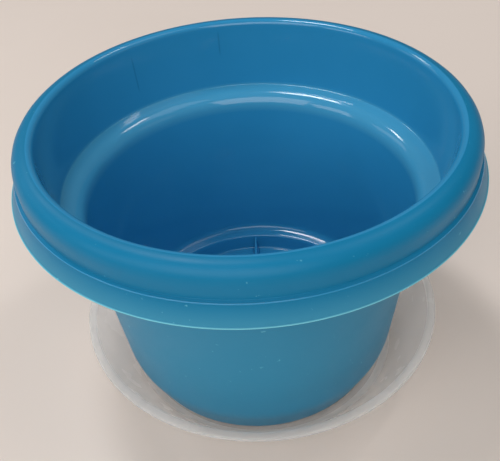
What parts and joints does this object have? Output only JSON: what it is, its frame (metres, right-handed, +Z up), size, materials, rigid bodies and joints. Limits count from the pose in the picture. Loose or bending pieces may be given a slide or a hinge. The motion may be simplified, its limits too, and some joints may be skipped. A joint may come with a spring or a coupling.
{
  "type": "vibratory rock tumbler bowl with drop-in lid",
  "caption": "Round tapered plastic bowl of a vibratory rock tumbler, with a rolled stepped rim, standing in its shallow translucent drop-in lid.",
  "frame": {"origin": "on the bowl's axis, on the surface that the lid rests on, which is the centre of the bottom of the object's box", "axes": "+Z up along the bowl's axis, out of its mouth; -Y the side seen in front; +X to the right"},
  "size_m": [0.19, 0.19, 0.1288],
  "materials": {
    "blue_plastic": "blue injection-moulded plastic, glossy inside and satin outside",
    "clear_plastic": "thin milky translucent plastic"
  },
  "bodies": {
    "lid": {"drop_in_lid": "clear_plastic"},
    "bowl": {"bowl": "blue_plastic"}
  },
  "joints": [
    {"name": "bowl_lift", "type": "slide", "parent": "lid", "child": "bowl", "axis": [0, 0, 1], "range_m": [0, 0.06]}
  ]
}
